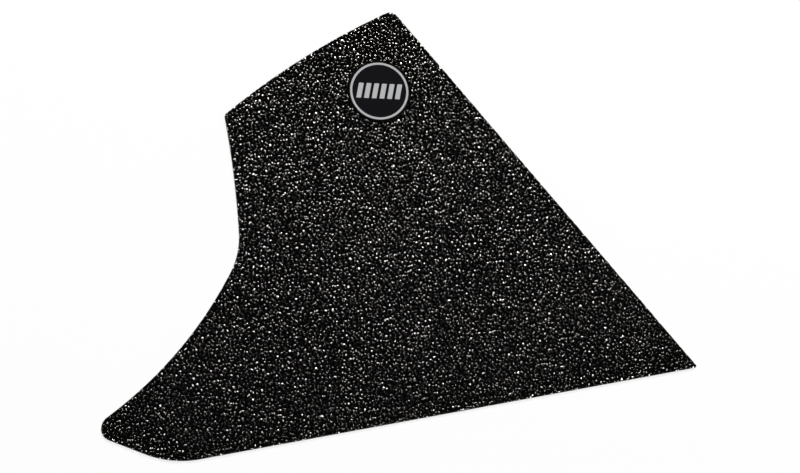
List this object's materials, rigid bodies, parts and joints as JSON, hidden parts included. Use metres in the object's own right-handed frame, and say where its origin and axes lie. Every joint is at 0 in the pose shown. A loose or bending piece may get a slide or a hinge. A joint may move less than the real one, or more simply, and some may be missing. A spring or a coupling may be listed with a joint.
{
  "type": "motorcycle tank pad",
  "caption": "Self-adhesive anti-slip pad for the side of a motorcycle fuel tank: a flat pebble-grained rubber sheet with a waist, a rounded toe and a smooth round badge.",
  "frame": {"origin": "under the middle of the outline's box, on the flat adhesive back", "axes": "+X along the long straight lower edge towards the pointed tip, +Y across the sheet towards the peak, +Z out of the grained face"},
  "size_m": [0.2494, 0.173, 0.0019],
  "materials": {
    "black_rubber": "moulded pebble grain with a semi-gloss skin and a smooth round land for the badge",
    "silver_print": "satin silver ink on the badge's ring and bars, which are raised 0.15 mm from the rubber and are no separate piece"
  },
  "bodies": {
    "root": {"grip_pad": "black_rubber"}
  },
  "joints": []
}
